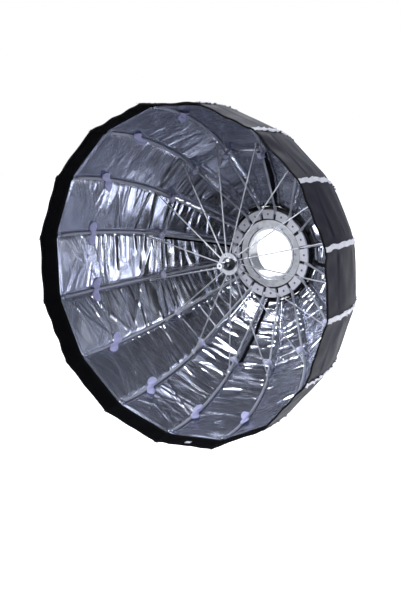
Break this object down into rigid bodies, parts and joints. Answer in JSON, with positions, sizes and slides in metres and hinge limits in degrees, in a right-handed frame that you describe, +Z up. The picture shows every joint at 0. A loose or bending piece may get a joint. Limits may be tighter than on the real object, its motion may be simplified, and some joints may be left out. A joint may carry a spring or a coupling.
{
  "type": "folding octabox",
  "caption": "Folding deep octabox for a studio flash, with hinged ribs, a sliding hub with spokes, a silver-lined cloth shell and a turning bayonet ring.",
  "frame": {"origin": "centre of the lamp's seat face, the rear face of the insert's flange, on the optical axis", "axes": "+Y along the optical axis towards the lamp, so light leaves towards -Y; +Z up, with one flat of the rim at the top; +X to the right seen from the front"},
  "size_m": [0.7846, 0.4518, 0.7846],
  "materials": {
    "insert_metal": "turned and clear anodised",
    "retainer_metal": "bead blasted and clear anodised",
    "screw_steel": "zinc plated socket screws",
    "ring_metal": "die cast and black powder coated",
    "cap_plastic": "moulded light grey nylon",
    "pin_steel": "ground steel",
    "rib_steel": "drawn steel rod with a satin nickel finish",
    "spoke_steel": "drawn steel rod with flattened ends",
    "hub_metal": "turned and satin anodised",
    "hub_dark": "black painted steel plate",
    "stud_metal": "turned and nickel plated",
    "outer_nylon": "coated woven nylon",
    "silver_foil": "silver reflective laminate over woven cloth",
    "binding_tape": "woven polyester binding tape",
    "lip_nylon": "black woven nylon",
    "hook_nylon": "black hook and loop tape",
    "tab_cloth": "white loop tape",
    "tie_cord": "pale braided tape",
    "strip_cloth": "black woven tape"
  },
  "bodies": {
    "mount": {"mount_insert": "insert_metal", "retaining_ring": "retainer_metal", "retaining_screws": "screw_steel"},
    "base": {"base_ring": "ring_metal", "clamp_caps": "cap_plastic", "cap_screws": "screw_steel", "hinge_pins": "pin_steel", "drag_screws": "screw_steel", "rear_collar": "lip_nylon", "canopy_shell": "outer_nylon", "canopy_lining": "silver_foil", "seam_tapes": "binding_tape", "seam_sleeves": "silver_foil", "rim_lip": "lip_nylon", "hook_band": "hook_nylon", "rib_pockets": "lip_nylon", "velcro_tabs": "tab_cloth", "rib_ties": "tie_cord", "slit_strips": "strip_cloth"},
    "hub": {"hub_body": "hub_metal", "hub_back_plate": "hub_dark", "hub_cap": "hub_metal", "hub_pins": "pin_steel", "hub_screws": "screw_steel", "accessory_stud": "stud_metal"},
    "rib_01": {"rib_01": "rib_steel"},
    "spoke_01": {"spoke_01": "spoke_steel"},
    "rib_02": {"rib_02": "rib_steel"},
    "spoke_02": {"spoke_02": "spoke_steel"},
    "rib_03": {"rib_03": "rib_steel"},
    "spoke_03": {"spoke_03": "spoke_steel"},
    "rib_04": {"rib_04": "rib_steel"},
    "spoke_04": {"spoke_04": "spoke_steel"},
    "rib_05": {"rib_05": "rib_steel"},
    "spoke_05": {"spoke_05": "spoke_steel"},
    "rib_06": {"rib_06": "rib_steel"},
    "spoke_06": {"spoke_06": "spoke_steel"},
    "rib_07": {"rib_07": "rib_steel"},
    "spoke_07": {"spoke_07": "spoke_steel"},
    "rib_08": {"rib_08": "rib_steel"},
    "spoke_08": {"spoke_08": "spoke_steel"},
    "rib_09": {"rib_09": "rib_steel"},
    "spoke_09": {"spoke_09": "spoke_steel"},
    "rib_10": {"rib_10": "rib_steel"},
    "spoke_10": {"spoke_10": "spoke_steel"},
    "rib_11": {"rib_11": "rib_steel"},
    "spoke_11": {"spoke_11": "spoke_steel"},
    "rib_12": {"rib_12": "rib_steel"},
    "spoke_12": {"spoke_12": "spoke_steel"},
    "rib_13": {"rib_13": "rib_steel"},
    "spoke_13": {"spoke_13": "spoke_steel"},
    "rib_14": {"rib_14": "rib_steel"},
    "spoke_14": {"spoke_14": "spoke_steel"},
    "rib_15": {"rib_15": "rib_steel"},
    "spoke_15": {"spoke_15": "spoke_steel"},
    "rib_16": {"rib_16": "rib_steel"},
    "spoke_16": {"spoke_16": "spoke_steel"}
  },
  "joints": [
    {"name": "ring_spin", "type": "hinge", "parent": "mount", "child": "base", "pos_m": [0, 0, 0], "axis": [0, 1, 0], "continuous": true},
    {"name": "hub_slide", "type": "slide", "parent": "base", "child": "hub", "axis": [0, -1, 0], "range_m": [0, 0.2683], "deforming": ["canopy_shell", "canopy_lining", "seam_tapes", "seam_sleeves", "rim_lip", "hook_band", "rib_pockets", "velcro_tabs", "rib_ties", "slit_strips"]},
    {"name": "rib_01_fold", "type": "hinge", "parent": "base", "child": "rib_01", "pos_m": [-0.02029, -0.024, 0.102], "axis": [0.9808, 0, 0.1951], "range_deg": [0, 42.01]},
    {"name": "spoke_01_turn", "type": "hinge", "parent": "hub", "child": "spoke_01", "pos_m": [-0.0041, -0.21002, 0.0206], "axis": [-0.9808, 0, -0.1951], "range_deg": [0, 49.47]},
    {"name": "rib_02_fold", "type": "hinge", "parent": "base", "child": "rib_02", "pos_m": [-0.05778, -0.024, 0.08647], "axis": [0.8315, 0, 0.5556], "range_deg": [0, 42.01]},
    {"name": "spoke_02_turn", "type": "hinge", "parent": "hub", "child": "spoke_02", "pos_m": [-0.01167, -0.21002, 0.01746], "axis": [-0.8315, 0, -0.5556], "range_deg": [0, 49.47]},
    {"name": "rib_03_fold", "type": "hinge", "parent": "base", "child": "rib_03", "pos_m": [-0.08647, -0.024, 0.05778], "axis": [0.5556, 0, 0.8315], "range_deg": [0, 42.01]},
    {"name": "spoke_03_turn", "type": "hinge", "parent": "hub", "child": "spoke_03", "pos_m": [-0.01746, -0.21002, 0.01167], "axis": [-0.5556, 0, -0.8315], "range_deg": [0, 49.47]},
    {"name": "rib_04_fold", "type": "hinge", "parent": "base", "child": "rib_04", "pos_m": [-0.102, -0.024, 0.02029], "axis": [0.1951, 0, 0.9808], "range_deg": [0, 42.01]},
    {"name": "spoke_04_turn", "type": "hinge", "parent": "hub", "child": "spoke_04", "pos_m": [-0.0206, -0.21002, 0.0041], "axis": [-0.1951, 0, -0.9808], "range_deg": [0, 49.47]},
    {"name": "rib_05_fold", "type": "hinge", "parent": "base", "child": "rib_05", "pos_m": [-0.102, -0.024, -0.02029], "axis": [-0.1951, 0, 0.9808], "range_deg": [0, 42.01]},
    {"name": "spoke_05_turn", "type": "hinge", "parent": "hub", "child": "spoke_05", "pos_m": [-0.0206, -0.21002, -0.0041], "axis": [0.1951, 0, -0.9808], "range_deg": [0, 49.47]},
    {"name": "rib_06_fold", "type": "hinge", "parent": "base", "child": "rib_06", "pos_m": [-0.08647, -0.024, -0.05778], "axis": [-0.5556, 0, 0.8315], "range_deg": [0, 42.01]},
    {"name": "spoke_06_turn", "type": "hinge", "parent": "hub", "child": "spoke_06", "pos_m": [-0.01746, -0.21002, -0.01167], "axis": [0.5556, 0, -0.8315], "range_deg": [0, 49.47]},
    {"name": "rib_07_fold", "type": "hinge", "parent": "base", "child": "rib_07", "pos_m": [-0.05778, -0.024, -0.08647], "axis": [-0.8315, 0, 0.5556], "range_deg": [0, 42.01]},
    {"name": "spoke_07_turn", "type": "hinge", "parent": "hub", "child": "spoke_07", "pos_m": [-0.01167, -0.21002, -0.01746], "axis": [0.8315, 0, -0.5556], "range_deg": [0, 49.47]},
    {"name": "rib_08_fold", "type": "hinge", "parent": "base", "child": "rib_08", "pos_m": [-0.02029, -0.024, -0.102], "axis": [-0.9808, 0, 0.1951], "range_deg": [0, 42.01]},
    {"name": "spoke_08_turn", "type": "hinge", "parent": "hub", "child": "spoke_08", "pos_m": [-0.0041, -0.21002, -0.0206], "axis": [0.9808, 0, -0.1951], "range_deg": [0, 49.47]},
    {"name": "rib_09_fold", "type": "hinge", "parent": "base", "child": "rib_09", "pos_m": [0.02029, -0.024, -0.102], "axis": [-0.9808, 0, -0.1951], "range_deg": [0, 42.01]},
    {"name": "spoke_09_turn", "type": "hinge", "parent": "hub", "child": "spoke_09", "pos_m": [0.0041, -0.21002, -0.0206], "axis": [0.9808, 0, 0.1951], "range_deg": [0, 49.47]},
    {"name": "rib_10_fold", "type": "hinge", "parent": "base", "child": "rib_10", "pos_m": [0.05778, -0.024, -0.08647], "axis": [-0.8315, 0, -0.5556], "range_deg": [0, 42.01]},
    {"name": "spoke_10_turn", "type": "hinge", "parent": "hub", "child": "spoke_10", "pos_m": [0.01167, -0.21002, -0.01746], "axis": [0.8315, 0, 0.5556], "range_deg": [0, 49.47]},
    {"name": "rib_11_fold", "type": "hinge", "parent": "base", "child": "rib_11", "pos_m": [0.08647, -0.024, -0.05778], "axis": [-0.5556, 0, -0.8315], "range_deg": [0, 42.01]},
    {"name": "spoke_11_turn", "type": "hinge", "parent": "hub", "child": "spoke_11", "pos_m": [0.01746, -0.21002, -0.01167], "axis": [0.5556, 0, 0.8315], "range_deg": [0, 49.47]},
    {"name": "rib_12_fold", "type": "hinge", "parent": "base", "child": "rib_12", "pos_m": [0.102, -0.024, -0.02029], "axis": [-0.1951, 0, -0.9808], "range_deg": [0, 42.01]},
    {"name": "spoke_12_turn", "type": "hinge", "parent": "hub", "child": "spoke_12", "pos_m": [0.0206, -0.21002, -0.0041], "axis": [0.1951, 0, 0.9808], "range_deg": [0, 49.47]},
    {"name": "rib_13_fold", "type": "hinge", "parent": "base", "child": "rib_13", "pos_m": [0.102, -0.024, 0.02029], "axis": [0.1951, 0, -0.9808], "range_deg": [0, 42.01]},
    {"name": "spoke_13_turn", "type": "hinge", "parent": "hub", "child": "spoke_13", "pos_m": [0.0206, -0.21002, 0.0041], "axis": [-0.1951, 0, 0.9808], "range_deg": [0, 49.47]},
    {"name": "rib_14_fold", "type": "hinge", "parent": "base", "child": "rib_14", "pos_m": [0.08647, -0.024, 0.05778], "axis": [0.5556, 0, -0.8315], "range_deg": [0, 42.01]},
    {"name": "spoke_14_turn", "type": "hinge", "parent": "hub", "child": "spoke_14", "pos_m": [0.01746, -0.21002, 0.01167], "axis": [-0.5556, 0, 0.8315], "range_deg": [0, 49.47]},
    {"name": "rib_15_fold", "type": "hinge", "parent": "base", "child": "rib_15", "pos_m": [0.05778, -0.024, 0.08647], "axis": [0.8315, 0, -0.5556], "range_deg": [0, 42.01]},
    {"name": "spoke_15_turn", "type": "hinge", "parent": "hub", "child": "spoke_15", "pos_m": [0.01167, -0.21002, 0.01746], "axis": [-0.8315, 0, 0.5556], "range_deg": [0, 49.47]},
    {"name": "rib_16_fold", "type": "hinge", "parent": "base", "child": "rib_16", "pos_m": [0.02029, -0.024, 0.102], "axis": [0.9808, 0, -0.1951], "range_deg": [0, 42.01]},
    {"name": "spoke_16_turn", "type": "hinge", "parent": "hub", "child": "spoke_16", "pos_m": [0.0041, -0.21002, 0.0206], "axis": [-0.9808, 0, 0.1951], "range_deg": [0, 49.47]}
  ],
  "couplings": [
    {"joint": "rib_01_fold", "follows": "hub_slide", "rad_per_m": 2.7322},
    {"joint": "spoke_01_turn", "follows": "hub_slide", "rad_per_m": 3.2173},
    {"joint": "rib_02_fold", "follows": "hub_slide", "rad_per_m": 2.7322},
    {"joint": "spoke_02_turn", "follows": "hub_slide", "rad_per_m": 3.2173},
    {"joint": "rib_03_fold", "follows": "hub_slide", "rad_per_m": 2.7322},
    {"joint": "spoke_03_turn", "follows": "hub_slide", "rad_per_m": 3.2173},
    {"joint": "rib_04_fold", "follows": "hub_slide", "rad_per_m": 2.7322},
    {"joint": "spoke_04_turn", "follows": "hub_slide", "rad_per_m": 3.2173},
    {"joint": "rib_05_fold", "follows": "hub_slide", "rad_per_m": 2.7322},
    {"joint": "spoke_05_turn", "follows": "hub_slide", "rad_per_m": 3.2173},
    {"joint": "rib_06_fold", "follows": "hub_slide", "rad_per_m": 2.7322},
    {"joint": "spoke_06_turn", "follows": "hub_slide", "rad_per_m": 3.2173},
    {"joint": "rib_07_fold", "follows": "hub_slide", "rad_per_m": 2.7322},
    {"joint": "spoke_07_turn", "follows": "hub_slide", "rad_per_m": 3.2173},
    {"joint": "rib_08_fold", "follows": "hub_slide", "rad_per_m": 2.7322},
    {"joint": "spoke_08_turn", "follows": "hub_slide", "rad_per_m": 3.2173},
    {"joint": "rib_09_fold", "follows": "hub_slide", "rad_per_m": 2.7322},
    {"joint": "spoke_09_turn", "follows": "hub_slide", "rad_per_m": 3.2173},
    {"joint": "rib_10_fold", "follows": "hub_slide", "rad_per_m": 2.7322},
    {"joint": "spoke_10_turn", "follows": "hub_slide", "rad_per_m": 3.2173},
    {"joint": "rib_11_fold", "follows": "hub_slide", "rad_per_m": 2.7322},
    {"joint": "spoke_11_turn", "follows": "hub_slide", "rad_per_m": 3.2173},
    {"joint": "rib_12_fold", "follows": "hub_slide", "rad_per_m": 2.7322},
    {"joint": "spoke_12_turn", "follows": "hub_slide", "rad_per_m": 3.2173},
    {"joint": "rib_13_fold", "follows": "hub_slide", "rad_per_m": 2.7322},
    {"joint": "spoke_13_turn", "follows": "hub_slide", "rad_per_m": 3.2173},
    {"joint": "rib_14_fold", "follows": "hub_slide", "rad_per_m": 2.7322},
    {"joint": "spoke_14_turn", "follows": "hub_slide", "rad_per_m": 3.2173},
    {"joint": "rib_15_fold", "follows": "hub_slide", "rad_per_m": 2.7322},
    {"joint": "spoke_15_turn", "follows": "hub_slide", "rad_per_m": 3.2173},
    {"joint": "rib_16_fold", "follows": "hub_slide", "rad_per_m": 2.7322},
    {"joint": "spoke_16_turn", "follows": "hub_slide", "rad_per_m": 3.2173}
  ]
}
